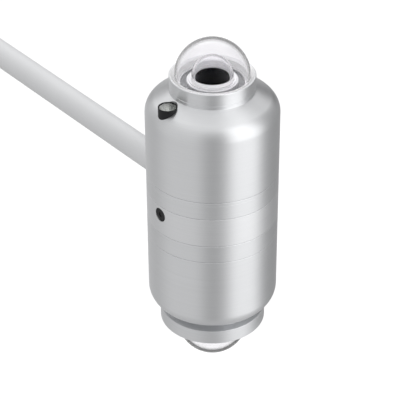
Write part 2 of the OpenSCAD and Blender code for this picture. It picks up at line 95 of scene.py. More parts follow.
def lathe_mesh(name, segs, steps):
    """Turns segments round the local Z axis. The loops keep the profile's own normals."""
    rings, verts, cache = [], [], {}

    def ring(p):
        key = (round(p[0], 6), round(p[1], 6))
        if key not in cache:
            if abs(p[0]) < 1e-6:
                cache[key] = [len(verts)] * steps
                verts.append((0, 0, p[1] * MM))
            else:
                cache[key] = list(range(len(verts), len(verts) + steps))
                for k in range(steps):
                    t = 2 * math.pi * k / steps
                    verts.append((p[0] * math.cos(t) * MM, p[0] * math.sin(t) * MM, p[1] * MM))
        return cache[key]

    faces, norms = [], []
    for p0, p1, n0, n1 in segs:
        if abs(p0[0]) < 1e-6 and abs(p1[0]) < 1e-6:
            continue
        a, b = ring(p0), ring(p1)
        for k in range(steps):
            j = (k + 1) % steps
            loop = [(a[k], n0, k), (a[j], n0, j), (b[j], n1, j), (b[k], n1, k)]
            if a[k] == a[j]:
                loop = [loop[0], loop[2], loop[3]]
            elif b[k] == b[j]:
                loop = loop[:3]
            faces.append([v for v, _, _ in loop])
            for _, nn, kk in loop:
                t = 2 * math.pi * kk / steps
                norms.append((nn[0] * math.cos(t), nn[0] * math.sin(t), nn[1]))
    me = bpy.data.meshes.new(name)
    me.from_pydata(verts, [], faces)
    me.update()
    me.polygons.foreach_set("use_smooth", [True] * len(me.polygons))
    me.normals_split_custom_set(norms)
    return me


def lathe(name, pts, steps=192, at=(0, 0, 0), turn=None, segs=None, down=False):
    """A turned piece: pts are its section's corners, at is in millimetres, turn rotates its Z axis."""
    if segs is None:
        if down:
            pts = [(p[0], -p[1]) + tuple(p[2:]) for p in pts]
        segs = corner_path(pts)
    o = bpy.data.objects.new(name, lathe_mesh(name, segs, steps))
    scene.collection.objects.link(o)
    place(o, at, turn)
    o["segs"] = json.dumps([[*s[0], *s[1], *s[2], *s[3]] for s in segs])
    return o


def place(o, at, turn=None):
    m = Matrix.Translation(Vector(at) * MM)
    if turn is not None:
        m = m @ turn
    o.matrix_world = m


def solid(name, build, at=(0, 0, 0), turn=None):
    """A piece made with bmesh: build(bm) draws it in millimetres."""
    bm = bmesh.new()
    build(bm)
    bmesh.ops.scale(bm, vec=(MM, MM, MM), verts=bm.verts)
    bmesh.ops.recalc_face_normals(bm, faces=bm.faces)
    me = bpy.data.meshes.new(name)
    bm.to_mesh(me)
    bm.free()
    o = bpy.data.objects.new(name, me)
    scene.collection.objects.link(o)
    place(o, at, turn)
    return o


def cone(bm, z0, z1, r0, r1, steps, m=None):
    """Adds a cone or cylinder between two heights."""
    q = Matrix.Translation((0, 0, (z0 + z1) / 2))
    bmesh.ops.create_cone(bm, cap_ends=True, segments=steps, radius1=r0, radius2=r1, depth=z1 - z0,
                          matrix=(m @ q) if m is not None else q)


def cut(o, cutters, how="DIFFERENCE"):
    """Cuts o with each cutter and keeps exact normals: turned faces take the section's, cut faces take their own."""
    for c in cutters:
        md = o.modifiers.new("cut", "BOOLEAN")
        md.operation, md.solver, md.object = how, "EXACT", c
    bpy.context.view_layer.update()
    dg = bpy.context.evaluated_depsgraph_get()
    me = bpy.data.meshes.new_from_object(o.evaluated_get(dg), depsgraph=dg)
    o.modifiers.clear()
    old = o.data
    o.data = me
    bpy.data.meshes.remove(old)
    for c in cutters:
        bpy.data.objects.remove(c)
    segs = np.array(json.loads(o["segs"]))
    me.name = o.name
    n = len(me.polygons)
    cen, nrm = np.zeros(n * 3), np.zeros(n * 3)
    me.polygons.foreach_get("center", cen)
    me.polygons.foreach_get("normal", nrm)
    cen, nrm = cen.reshape(-1, 3) / MM, nrm.reshape(-1, 3)
    co = np.array([v.co for v in me.vertices]) / MM
    p, q, n0, n1 = segs[:, 0:2], segs[:, 2:4], segs[:, 4:6], segs[:, 6:8]
    d = q - p
    ll = (d ** 2).sum(1)

    def nearest(r, z):
        w = np.stack([r, z], -1)[:, None, :] - p[None]
        t = np.clip((w * d[None]).sum(-1) / ll[None], 0, 1)
        dist = np.hypot(*np.moveaxis(w - t[..., None] * d[None], -1, 0))
        return dist, t

    out = np.zeros((len(me.loops), 3))
    rc = np.hypot(cen[:, 0], cen[:, 1])
    dist, t = nearest(rc, cen[:, 2])
    u = np.stack([cen[:, 0], cen[:, 1]], -1) / np.maximum(rc, 1e-9)[:, None]
    for i, f in enumerate(me.polygons):
        best, bd = None, 0.06
        for k in np.nonzero(dist[i] < 0.06)[0]:
            nn = n0[k] * (1 - t[i, k]) + n1[k] * t[i, k]
            full = np.array((nn[0] * u[i, 0], nn[0] * u[i, 1], nn[1]))
            full /= max(np.linalg.norm(full), 1e-9)
            if full @ nrm[i] > 0.97 and dist[i, k] < bd:
                best, bd = k, dist[i, k]
        for li in f.loop_indices:
            v = co[me.loops[li].vertex_index]
            if best is None:
                out[li] = nrm[i]
                continue
            r = math.hypot(v[0], v[1])
            w = np.array((r, v[2])) - p[best]
            tt = min(1.0, max(0.0, float(w @ d[best]) / ll[best]))
            nn = n0[best] * (1 - tt) + n1[best] * tt
            nn = nn / max(np.hypot(*nn), 1e-9)
            rr = max(r, 1e-9)
            out[li] = (nn[0] * v[0] / rr, nn[0] * v[1] / rr, nn[1])
    # faces left by the cutters are smoothed with their neighbours where the angle is small
    own = {}
    flat = [i for i in range(n) if np.allclose(out[me.polygons[i].loop_start], nrm[i])]
    for i in flat:
        for li in me.polygons[i].loop_indices:
            own.setdefault(me.loops[li].vertex_index, []).append(i)
    for i in flat:
        for li in me.polygons[i].loop_indices:
            near = [nrm[j] for j in own[me.loops[li].vertex_index] if nrm[j] @ nrm[i] > 0.9]
            s = np.sum(near, 0)
            out[li] = s / np.linalg.norm(s)
    me.polygons.foreach_set("use_smooth", [True] * n)
    me.normals_split_custom_set(out.tolist())
    return o


def bore(r, z0, z1, at, turn=None, steps=96, r1=None):
    return solid("cutter", lambda bm: cone(bm, z0, z1, r, r if r1 is None else r1, steps), at, turn)


def smooth_by_angle(o, deg=32):
    o.data.polygons.foreach_set("use_smooth", [True] * len(o.data.polygons))
    o.data.set_sharp_from_angle(angle=math.radians(deg))


def bevel(o, width, segments=2, deg=30):
    md = o.modifiers.new("edges", "BEVEL")
    md.width, md.segments, md.limit_method, md.angle_limit = width * MM, segments, "ANGLE", math.radians(deg)
    md.harden_normals = True
    return o


TO_REAR = Matrix.Rotation(math.radians(-90), 4, "Y")    # local Z points out of the rod's free end
TO_FRONT = Matrix.Rotation(math.radians(90), 4, "X")    # local Z points to -Y, where the port is
TO_BACK = Matrix.Rotation(math.radians(-90), 4, "X")    # local Z points to +Y, where the lock screw is
TO_BODY = Matrix.Rotation(math.radians(90), 4, "Y")     # local Z points along the rod to the body

# ---- materials ---------------------------------------------------------------------------------


class Mat:
    """A node material. The helpers return sockets."""

    def __init__(self, name, **values):
        self.m = bpy.data.materials.new(name)
        self.m.use_nodes = True
        self.t = self.m.node_tree
        self.t.nodes.clear()
        self.out = self.t.nodes.new("ShaderNodeOutputMaterial")
        self.b = self.t.nodes.new("ShaderNodeBsdfPrincipled")
        self.t.links.new(self.b.outputs[0], self.out.inputs[0])
        self.set(**values)

    def set(self, **values):
        for k, v in values.items():
            s = self.b.inputs[k.replace("_", " ")]
            s.default_value = (*v, 1.0) if isinstance(v, tuple) and len(v) == 3 else v

    def node(self, kind, **props):
        n = self.t.nodes.new(kind)
        for k, v in props.items():
            setattr(n, k, v)
        return n

    def wire(self, a, b):
        self.t.links.new(a, b)

    def math(self, op, a, b=None, c=None):
        n = self.node("ShaderNodeMath", operation=op)
        for i, x in enumerate((a, b, c)):
            if x is None:
                continue
            if isinstance(x, (int, float)):
                n.inputs[i].default_value = x
            else:
                self.wire(x, n.inputs[i])
        return n.outputs[0]

    def xyz(self, shift=(0, 0, 0)):
        """Object coordinates in millimetres, as three sockets, measured from shift (millimetres)."""
        tc = self.node("ShaderNodeTexCoord")
        sep = self.node("ShaderNodeSeparateXYZ")
        vm = self.node("ShaderNodeVectorMath", operation="SCALE")
        self.wire(tc.outputs["Object"], vm.inputs[0])
        vm.inputs["Scale"].default_value = 1000.0
        sub = self.node("ShaderNodeVectorMath", operation="SUBTRACT")
        self.wire(vm.outputs[0], sub.inputs[0])
        sub.inputs[1].default_value = shift
        self.wire(sub.outputs[0], sep.inputs[0])
        self.vec = sub.outputs[0]
        return sep.outputs[0], sep.outputs[1], sep.outputs[2]

    def combine(self, x, y, z):
        n = self.node("ShaderNodeCombineXYZ")
        for i, v in enumerate((x, y, z)):
            if isinstance(v, (int, float)):
                n.inputs[i].default_value = v
            else:
                self.wire(v, n.inputs[i])
        return n.outputs[0]

    def noise(self, vec, scale, detail=3.0, rough=0.5, dist=0.0):
        n = self.node("ShaderNodeTexNoise")
        n.inputs["Scale"].default_value = scale
        n.inputs["Detail"].default_value = detail
        n.inputs["Roughness"].default_value = rough
        n.inputs["Distortion"].default_value = dist
        self.wire(vec, n.inputs["Vector"])
        return n.outputs["Fac"]

    def ramp(self, fac, *stops):
        n = self.node("ShaderNodeValToRGB")
        e = n.color_ramp.elements
        while len(e) < len(stops):
            e.new(0.5)
        for el, (p, c) in zip(e, stops):
            el.position = p
            el.color = (*c, 1.0) if isinstance(c, tuple) else (c, c, c, 1.0)
        self.wire(fac, n.inputs[0])
        return n.outputs[0]

    def span(self, v, a, b, lo, hi):
        n = self.node("ShaderNodeMapRange")
        self.wire(v, n.inputs[0])
        for i, x in enumerate((a, b, lo, hi)):
            n.inputs[i + 1].default_value = x
        return n.outputs[0]

    def bump(self, h, dist, strength=1.0, base=None):
        n = self.node("ShaderNodeBump")
        n.inputs["Strength"].default_value = strength
        n.inputs["Distance"].default_value = dist
        self.wire(h, n.inputs["Height"])
        if base is not None:
            self.wire(base, n.inputs["Normal"])
        return n.outputs[0]


def turned_metal(name, shift, axis, tint, rough, aniso, line=1.0, grade=0.05, metal=1.0):
    """Lathe-turned aluminium: fine rings round the axis in bump, tone and roughness, with soft cloudy handling marks."""
    k = Mat(name, Metallic=metal, Anisotropic=aniso, IOR=1.45)
    x, y, z = k.xyz(shift)
    if axis == "X":
        x, y, z = y, z, x
    elif axis == "Y":
        x, y, z = z, x, y
    r = k.math("SQRT", k.math("ADD", k.math("MULTIPLY", x, x), k.math("MULTIPLY", y, y)))
    ang = k.math("ARCTAN2", y, x)
    slow = k.math("MULTIPLY", ang, 0.35)
    fine = k.noise(k.combine(k.math("MULTIPLY", r, 4.2), slow, k.math("MULTIPLY", z, 4.2)), 1.0, 3.0, 0.6)
    wide = k.noise(k.combine(k.math("MULTIPLY", r, 0.8), slow, k.math("MULTIPLY", z, 0.8)), 1.0, 2.0, 0.5)
    cloud = k.noise(k.vec, 0.045, 3.0, 0.55)
    hair = k.noise(k.combine(k.math("MULTIPLY", r, 9.0), k.math("MULTIPLY", ang, 2.2), k.math("MULTIPLY", z, 9.0)), 1.0, 2.0, 0.5)
    tone = k.math("ADD", k.math("MULTIPLY", fine, 0.5), k.math("ADD", k.math("MULTIPLY", wide, 0.2), k.math("MULTIPLY", cloud, 0.3)))
    lo = tuple(max(0.0, c - grade) for c in tint)
    hi = tuple(min(1.0, c + grade) for c in tint)
    k.wire(k.ramp(tone, (0.34, lo), (0.66, hi)), k.b.inputs["Base Color"])
    rr = k.math("ADD", k.span(hair, 0.3, 0.7, rough - 0.03, rough + 0.03), k.span(cloud, 0.3, 0.7, -0.015, 0.02))
    k.wire(rr, k.b.inputs["Roughness"])
    tan = k.node("ShaderNodeTangent", direction_type="RADIAL", axis=axis)
    k.wire(tan.outputs[0], k.b.inputs["Tangent"])
    k.b.inputs["Anisotropic Rotation"].default_value = 0.25
    h = k.math("ADD", k.math("MULTIPLY", fine, 0.6), k.math("MULTIPLY", hair, 0.4))
    k.wire(k.bump(h, 0.000012 * line, 0.5), k.b.inputs["Normal"])
    return k.m


def coat(name, tint, rough, grain=1.0):
    """Powder coat: a soft orange peel with faint tone and gloss changes."""
    k = Mat(name, Metallic=0.0, IOR=1.45)
    k.set(Specular_IOR_Level=0.35)
    k.xyz()
    peel = k.noise(k.vec, 1.1, 3.0, 0.5)
    speck = k.noise(k.vec, 5.0, 2.0, 0.6)
    cloud = k.noise(k.vec, 0.05, 2.0, 0.5)
    tone = k.math("ADD", k.math("MULTIPLY", cloud, 0.6), k.math("MULTIPLY", speck, 0.4))
    k.wire(k.ramp(tone, (0.35, tuple(c - 0.02 for c in tint)), (0.65, tuple(c + 0.015 for c in tint))), k.b.inputs["Base Color"])
    k.wire(k.span(peel, 0.3, 0.7, rough - 0.04, rough + 0.05), k.b.inputs["Roughness"])
    h = k.math("ADD", k.math("MULTIPLY", peel, 0.8), k.math("MULTIPLY", speck, 0.2))
    k.wire(k.bump(h, 0.00003 * grain, 0.35), k.b.inputs["Normal"])
    return k.m


def plastic(name, tint, rough, grain=6.0, depth=0.00002, spread=0.012, spec=0.5):
    """Moulded plastic or rubber: a fine grain with rubbed patches."""
    k = Mat(name, Metallic=0.0, IOR=1.5)
    k.set(Specular_IOR_Level=spec)
    k.xyz()
    g = k.noise(k.vec, grain, 3.0, 0.6)
    cloud = k.noise(k.vec, 0.35, 3.0, 0.55)
    tone = k.math("ADD", k.math("MULTIPLY", g, 0.4), k.math("MULTIPLY", cloud, 0.6))
    k.wire(k.ramp(tone, (0.35, tuple(max(0, c - spread) for c in tint)), (0.68, tuple(c + spread for c in tint))), k.b.inputs["Base Color"])
    k.wire(k.span(cloud, 0.3, 0.7, rough - 0.06, rough + 0.06), k.b.inputs["Roughness"])
    k.wire(k.bump(g, depth, 0.4), k.b.inputs["Normal"])
    return k.m


def plain_metal(name, tint, rough, grain=4.0, spread=0.04):
    """Stock-removed metal without a single turning axis: screws, pins and springs."""
    k = Mat(name, Metallic=1.0)
    x, y, z = k.xyz()
    v = k.combine(k.math("MULTIPLY", x, 1.0), k.math("MULTIPLY", y, 1.0), k.math("MULTIPLY", z, 3.0))
    n = k.noise(v, grain, 3.0, 0.6)
    cloud = k.noise(k.vec, 0.5, 2.0, 0.5)
    tone = k.math("ADD", k.math("MULTIPLY", n, 0.6), k.math("MULTIPLY", cloud, 0.4))
    k.wire(k.ramp(tone, (0.35, tuple(max(0, c - spread) for c in tint)), (0.65, tuple(min(1, c + spread) for c in tint))), k.b.inputs["Base Color"])
    k.wire(k.span(n, 0.3, 0.7, rough - 0.06, rough + 0.08), k.b.inputs["Roughness"])
    k.wire(k.bump(n, 0.00001, 0.35), k.b.inputs["Normal"])
    return k.m


def glass(name, tint, ior=1.47, rough=0.0, rim_painted_shade=None, blooming=1.0):
    """Polished optical glass, with a whisper of polishing haze. The edge stops paint shade into the base colour where
    the glass is seen edge-on; blooming below 1 is an anti-reflection coating."""
    k = Mat(name, Metallic=0.0, IOR=ior)
    k.set(Transmission_Weight=1.0, Specular_Tint=(blooming, blooming, min(1.0, blooming * 1.15)))
    k.xyz()
    cloud = k.noise(k.vec, 0.12, 3.0, 0.5)
    col = k.ramp(cloud, (0.3, tuple(c - 0.006 for c in tint)), (0.7, tint))
    if rim_painted_shade:
        # painted shade: the base colour darkens towards the glass's edge-on outline
        lw = k.node("ShaderNodeLayerWeight")
        lw.inputs["Blend"].default_value = 0.5
        edge = k.ramp(lw.outputs["Facing"], (rim_painted_shade[0], 1.0), (rim_painted_shade[1], rim_painted_shade[2]))
        mul = k.node("ShaderNodeMix", data_type="RGBA", blend_type="MULTIPLY")
        mul.inputs["Factor"].default_value = 1.0
        k.wire(col, mul.inputs["A"])
        k.wire(edge, mul.inputs["B"])
        col = mul.outputs["Result"]
    k.wire(col, k.b.inputs["Base Color"])
    k.wire(k.span(cloud, 0.35, 0.75, rough, rough + 0.012), k.b.inputs["Roughness"])
    return k.m


def absorber_black(name, shift):
    """Matt carbon paint with a very fine sprayed grain and a soft cloudy tone."""
    k = Mat(name, Metallic=0.0, IOR=1.5)
    k.set(Specular_IOR_Level=0.004)
    x, y, z = k.xyz(shift)
    g = k.noise(k.vec, 9.0, 3.0, 0.65)
    cloud = k.noise(k.vec, 0.6, 2.0, 0.5)
    k.wire(k.ramp(k.math("ADD", k.math("MULTIPLY", g, 0.5), k.math("MULTIPLY", cloud, 0.5)),
                  (0.35, (0.001, 0.001, 0.001)), (0.7, (0.003, 0.003, 0.0031))), k.b.inputs["Base Color"])
    k.wire(k.span(g, 0.3, 0.7, 0.36, 0.46), k.b.inputs["Roughness"])
    k.wire(k.bump(g, 0.00001, 0.3), k.b.inputs["Normal"])
    return k.m


def board(name, shift):
    """Solder mask over copper tracks: the tracks show as slightly lighter, raised lines."""
    k = Mat(name, Metallic=0.0, IOR=1.5)
    k.set(Coat_Weight=0.3, Coat_Roughness=0.15)
    x, y, z = k.xyz(shift)
    w = k.node("ShaderNodeTexBrick")
    w.offset, w.squash = 0.35, 0.8
    w.inputs["Scale"].default_value = 0.34
    w.inputs["Mortar Size"].default_value = 0.05
    w.inputs["Mortar Smooth"].default_value = 0.3
    w.inputs["Brick Width"].default_value = 1.3
    w.inputs["Row Height"].default_value = 0.62
    k.wire(k.combine(x, y, 0.0), w.inputs["Vector"])
    n = k.noise(k.vec, 2.2, 3.0, 0.5)
    base = k.ramp(n, (0.3, (0.012, 0.10, 0.045)), (0.7, (0.02, 0.15, 0.065)))
    mix = k.node("ShaderNodeMix", data_type="RGBA")
    k.wire(w.outputs["Fac"], mix.inputs["Factor"])
    k.wire(base, mix.inputs["A"])
    mix.inputs["B"].default_value = (0.05, 0.30, 0.13, 1)
    k.wire(mix.outputs["Result"], k.b.inputs["Base Color"])
    k.wire(k.span(n, 0.3, 0.7, 0.3, 0.42), k.b.inputs["Roughness"])
    k.wire(k.bump(w.outputs["Fac"], 0.00003, 0.4), k.b.inputs["Normal"])
    return k.m


def liquid(name, tint, through=1.0):
    k = Mat(name, Metallic=0.0, IOR=1.36)
    k.set(Transmission_Weight=through)
    k.xyz()
    n = k.noise(k.vec, 0.4, 2.0, 0.5)
    k.wire(k.ramp(n, (0.3, tuple(c * 0.96 for c in tint)), (0.7, tint)), k.b.inputs["Base Color"])
    k.wire(k.span(n, 0.3, 0.7, 0.0, 0.02), k.b.inputs["Roughness"])
    return k.m


ALU = (0.79, 0.798, 0.812)
M = {
    "anodised": turned_metal("anodised_turned", (0, 0, 0), "Z", ALU, 0.36, 0.78, 0.5, 0.022),
    "anodised_cad": turned_metal("anodised_turned_cad", (AX, 0, 0), "Z", ALU, 0.36, 0.78, 0.5, 0.022),
    "anodised_rod": turned_metal("anodised_turned_rod", (0, 0, 0), "Z", ALU, 0.36, 0.5, 0.5, 0.022),
    "anodised_block": turned_metal("anodised_turned_block", (0, 0, 0), "Z", (0.83, 0.836, 0.85), 0.41, 0.74, 0.6, 0.025),
    "anodised_fine": turned_metal("anodised_fine_turned", (0, 0, 0), "Z", ALU, 0.5, 0.6, 0.9, 0.03),
    # a whiter copy of the turned metal for the collar's step and bore round the glass: painted light
    "collar_inside_painted_pale": turned_metal("collar_turned_painted_pale", (0, 0, 0), "Z", (0.965, 0.965, 0.97), 0.5, 0.3, 0.8, 0.02, 1.0),
    "machined": turned_metal("machined_turned", (0, 0, 0), "Z", (0.35, 0.354, 0.36), 0.42, 1.0, 1.0, 0.03),
    "machined_cad": turned_metal("machined_turned_cad", (AX, 0, 0), "Z", (0.70, 0.705, 0.71), 0.33, 0.6, 1.6, 0.05),
    "machined_x": turned_metal("machined_turned_x", (0, 0, 0), "X", (0.70, 0.705, 0.71), 0.33, 0.6, 1.6, 0.05),
    "sensor_bright": turned_metal("sensor_bright_turned", (0, 0, 0), "Z", (0.86, 0.86, 0.866), 0.44, 0.4, 0.8, 0.02, 0.8),
    "rod_coat": coat("rod_powder_coat", (0.80, 0.806, 0.818), 0.42),
    "steel": plain_metal("stainless_steel", (0.62, 0.62, 0.63), 0.28),
    "black_steel": plain_metal("black_oxide_steel", (0.05, 0.05, 0.055), 0.38, 5.0, 0.015),
    "rubber": plastic("black_rubber", (0.018, 0.018, 0.019), 0.62, 4.0, 0.00003, 0.006, 0.4),
    "black_plastic": plastic("moulded_black_plastic", (0.022, 0.022, 0.024), 0.42),
    "plug_black": plastic("satin_black_plastic", (0.015, 0.015, 0.0165), 0.46, 6.0, 0.000015, 0.005, 0.22),
    "lead_red": plastic("wire_insulation", (0.42, 0.03, 0.025), 0.45, 3.0, 0.00001, 0.03),
    "substrate": plastic("matt_ceramic", (0.78, 0.77, 0.73), 0.6, 3.0, 0.00001, 0.03),
    "board_green": board("solder_mask", (AX, 0, 0)),
    # the domes' edge stops are painted shade on the glass where it is seen edge-on
    "dome_glass": glass("optical_glass_outside", (0.925, 0.92, 0.934), rim_painted_shade=(0.50, 0.72, 0.18), blooming=0.04),
    "lower_dome_glass": glass("optical_glass_below", (0.96, 0.958, 0.963), rim_painted_shade=(0.48, 0.62, 0.03), blooming=0.04),
    "dome_glass_inside": glass("optical_glass_inside", (0.93, 0.925, 0.94), blooming=0.04),
    "small_dome_glass": glass("small_dome_glass_outside", (0.965, 0.96, 0.972), rim_painted_shade=(0.50, 0.85, 0.6), blooming=0.04),
    "small_dome_glass_inside": glass("small_dome_glass_inside", (0.965, 0.96, 0.972), blooming=0.08),
    "level_glass": glass("level_window_glass", (0.97, 0.98, 0.98), 1.5),
    "absorber_black": absorber_black("absorber_coating", (0, 0, 0)),
    "ground_skirt": coat("ground_glass_skirt", (0.97, 0.97, 0.972), 0.6),
    "level_liquid": liquid("level_liquid", (0.48, 0.50, 0.45), 0.4),
    "bubble_air": liquid("level_bubble_air", (0.98, 0.99, 0.97)),
}
M["bubble_air"].node_tree.nodes["Principled BSDF"].inputs["IOR"].default_value = 1.05


def dress(o, mat, body=None, replaces=()):
    o.data.materials.clear()
    o.data.materials.append(M[mat])
    if body:
        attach(o, body)
    if replaces:
        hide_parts(*replaces)
    if "segs" in o:
        del o["segs"]
    return o


# ---- sizes shared with the CAD part (millimetres) -------------------------------------------------
R, C, RUN = 34.0, 0.2, 0.1
TOP, BOT, RING = 8.9, 7.3, 10.0
WALL, ARC_R = 52.4, 9.4
COLLAR, DOME, DOME_T, INNER, INNER_T, ABS = 21.65, 19.05, 1.3, 10.5, 0.9, 8.5
LEVEL_AT, LEVEL_BACK, LEVEL_R, LEVEL_TOP, BOSS_TOP = 27.0, 1.3, 4.85, 63.75, 66.9
PORT_Z, PORT_R = 3.8, 3.7
CORNER_Z = WALL + ARC_R * math.tan(math.radians(30))    # where the wall's line meets the cone's
CONE_Z = WALL + ARC_R * math.cos(math.radians(30))
CONE_R = R - ARC_R + ARC_R * math.sin(math.radians(30))
BOSS_Z = CONE_Z + (CONE_R - COLLAR) * math.tan(math.radians(30))
BODY = (AX, 0, 0)


def face(lo):
    return BOT if lo else TOP


def seat(lo):
    return 68.2 + (5.3 if lo else 0.0)


def which(lo):
    return "lower" if lo else "upper"


# ---- housings --------------------------------------------------------------------------------------
for lo in (False, True):
    s = face(lo) + RING
    zb = 65.9 if lo else BOSS_TOP
    pts = [(30, s), (R - C, s, 0.04), (R, s + C, 0.06), (R, CORNER_Z, ARC_R), (COLLAR, BOSS_Z, 0.45),
           (COLLAR, zb - 0.2, 0.06), (COLLAR - 0.2, zb, 0.06), (20.95, zb, 0.05), (20.95, zb - 1.15), (19.45, zb - 1.15), (19.45, zb, 0.05),
           (18.8, zb, 0.1), (18.8, 60), (18, 60), (18, 48), (30, 48, 0.6), (30, s + 12), (24, s + 12, 0.3),
           (24, s + 5.1), (30, s + 5.1)]
    o = lathe(which(lo) + "_housing_shell", pts, 256, BODY, down=lo)
    if not lo:
        cut(o, [bore(LEVEL_R + 0.03, 51.5, 80, (AX - LEVEL_BACK, -LEVEL_AT, 0), steps=128)])
    dress(o, "anodised", which(lo) + "_head", [which(lo) + "_housing"])

# ---- coupling rings ---------------------------------------------------------------------------------
for lo in (False, True):
    f, s = face(lo), face(lo) + RING
    pts = [(20.6, f + RUN, 0.1), (R - C, f + RUN, 0.04), (R, f + RUN + C, 0.06), (R, s - RUN - C, 0.06),
           (R - C, s - RUN, 0.04)]
    if not lo:  # a shallow witness line just below the upper ring's top edge
        pts[3:4] = [(R, s - 1.95), (R - 0.10, s - 1.85), (R, s - 1.75), (R, s - RUN - C, 0.06)]
    z, thread = s - RUN - 0.3, [(24.4, s - RUN)]
    while z > f + 2.9:
        thread += [(24.05, z), (24.3, z - 0.35), (24.05, z - 0.7)]
        z -= 0.75
    pts += thread + [(24.05, f + 2.1), (20.6, f + 2.1, 0.1)]
    o = lathe(which(lo) + "_ring_band", pts, 256, BODY, down=lo)
    dress(o, "anodised", which(lo) + "_ring", [which(lo) + "_coupling_ring"])

# ---- central block ----------------------------------------------------------------------------------
sp = 20.5
pts = [(15, 7), (15, TOP + 7.1, 0.2), (sp - 0.4, TOP + 7.1), (sp, TOP + 6.7), (sp, TOP + 6.6), (19.5, TOP + 6.6),
       (19.5, TOP + 4.7), (sp, TOP + 4.7, 0.08), (sp, TOP + 3.2, 0.08), (19.5, TOP + 3.2), (19.5, TOP + 2.15),
       (sp, TOP + 2.15, 0.08), (sp, TOP, 0.2), (R - C, TOP, 0.04), (R, TOP - C, 0.06), (R, -BOT + C, 0.06), (R - C, -BOT, 0.04),
       (sp, -BOT, 0.2), (sp, -BOT - 2.15, 0.08), (19.5, -BOT - 2.15), (19.5, -BOT - 3.2), (sp, -BOT - 3.2, 0.08),
       (sp, -BOT - 4.7, 0.08), (19.5, -BOT - 4.7), (19.5, -BOT - 6.6), (sp, -BOT - 6.6), (sp, -BOT - 6.7),
       (sp - 0.4, -BOT - 7.1), (11, -BOT - 7.1, 0.2), (11, 7)]
o = lathe("block_band", pts, 256, BODY)
cutters = [
    bore(6, -39, -5, BODY, TO_BODY, 96),
    bore(3.03, 5, 30.9, (AX, 0, PORT_Z), TO_FRONT, 64),
    bore(PORT_R + 0.08, 30.6, 38, (AX, 0, PORT_Z), TO_FRONT, 96),
    bore(2.52, 4, 36, (AX - 23, 0, 0), TO_BACK, 64),
]
for a in (60, -60):
    cutters.append(bore(1.0, 3, 9, (AX + 12.9 * math.cos(math.radians(a)), 12.9 * math.sin(math.radians(a)), 0), steps=24))
for a in (45, 225):
    x, y = AX + 17.75 * math.cos(math.radians(a)), 17.75 * math.sin(math.radians(a))
    cutters += [bore(1.25, TOP + 1, TOP + 9, (x, y, 0), steps=32), bore(1.25, -BOT - 9, -BOT - 1, (x, y, 0), steps=32)]
cut(o, cutters)
dress(o, "anodised_block", "block", ["central_block"])

# ---- dome collars -------------------------------------------------------------------------------------
for lo in (False, True):
    z = seat(lo)
    foot, land = -(12.6 if lo else 7.0), 0.0 if lo else BOSS_TOP - z
    pts = [(17.5, foot), (18.72, foot, 0.15), (18.72, land + 0.02), (COLLAR - 0.12, land + 0.02, 0.04), (COLLAR, land + 0.14, 0.05),
           (COLLAR, 4.75, 0.12), (COLLAR - 0.25, 5, 0.08), (20.9, 5, 0.12), (DOME + 0.1, 4.15, 0.08), (DOME + 0.1, 1.3),
           (16.2, 1.3, 0.12), (16.2, 0.05), (17.5, 0.05)]
    o = lathe(which(lo) + "_collar_band", [(p[0], p[1] + z) + tuple(p[2:]) for p in pts], 224, BODY, down=lo)
    dress(o, "anodised", which(lo) + "_head", [which(lo) + "_dome_collar"])
    o.data.materials.append(M["collar_inside_painted_pale"])    # painted light: the step and bore round the glass get a whiter copy of the turned metal, so they read pale under the glass
    for f in o.data.polygons:
        c = f.center / MM
        if math.hypot(c.x, c.y) < 20.95 and abs(c.z) > z + 0.03:
            f.material_index = 1

# ---- glare screen ---------------------------------------------------------------------------------------
g0, g1, se = 65.9, 65.9 + 7.9, seat(True)
pts = [(18.8, g0 + 0.02), (27.7, g0 + 0.02, 0.1), (28, g0 + 0.32, 0.12), (28, g1 - 0.25, 0.12), (27.75, g1, 0.1), (26.8, g1, 0.25),
       (23.9, g0 + 3.4, 1.2), (22.3, g0 + 3.2, 0.6), (22.3, se - 0.2, 0.08), (22.1, se, 0.06), (20.95, se), (20.95, se - 1.15),
       (19.45, se - 1.15), (19.45, se), (18.8, se)]
o = lathe("glare_screen_dish", pts, 256, BODY, down=True)
dress(o, "anodised_fine", "lower_head", ["glare_screen"])

# ---- domes ----------------------------------------------------------------------------------------------


def dome_section(zc, skirt, ro, t, lo):
    """Section of a shell on a short skirt, with a tiny ground edge."""
    ri, segs, n = ro - t, [], 48
    e = 0.12
    flip = -1.0 if lo else 1.0

    def pt(r, z):
        return (r, flip * z)

    def add(p, q, m, k):
        a = (pt(*p), pt(*q), (m[0], flip * m[1]), (k[0], flip * k[1]))
        segs.append(a if not lo else (a[1], a[0], a[3], a[2]))

    add((ri + e, zc - skirt), (ro - e, zc - skirt), (0, -1), (0, -1))
    add((ro - e, zc - skirt), (ro, zc - skirt + e), (0.7, -0.7), (0.7, -0.7))
    add((ro, zc - skirt + e), (ro, zc), (1, 0), (1, 0))
    for i in range(n):
        a, b = math.pi / 2 * i / n, math.pi / 2 * (i + 1) / n
        u, v = (math.cos(a), math.sin(a)), (math.cos(b) if i < n - 1 else 0.0, math.sin(b))
        add((ro * u[0], zc + ro * u[1]), (ro * v[0], zc + ro * v[1]), u, v)
    for i in reversed(range(n)):
        a, b = math.pi / 2 * i / n, math.pi / 2 * (i + 1) / n
        u, v = (math.cos(a), math.sin(a)), (math.cos(b) if i < n - 1 else 0.0, math.sin(b))
        add((ri * v[0], zc + ri * v[1]), (ri * u[0], zc + ri * u[1]), (-v[0], -v[1]), (-u[0], -u[1]))
    add((ri, zc), (ri, zc - skirt + e), (-1, 0), (-1, 0))
    add((ri, zc - skirt + e), (ri + e, zc - skirt), (-0.7, -0.7), (-0.7, -0.7))
    return segs


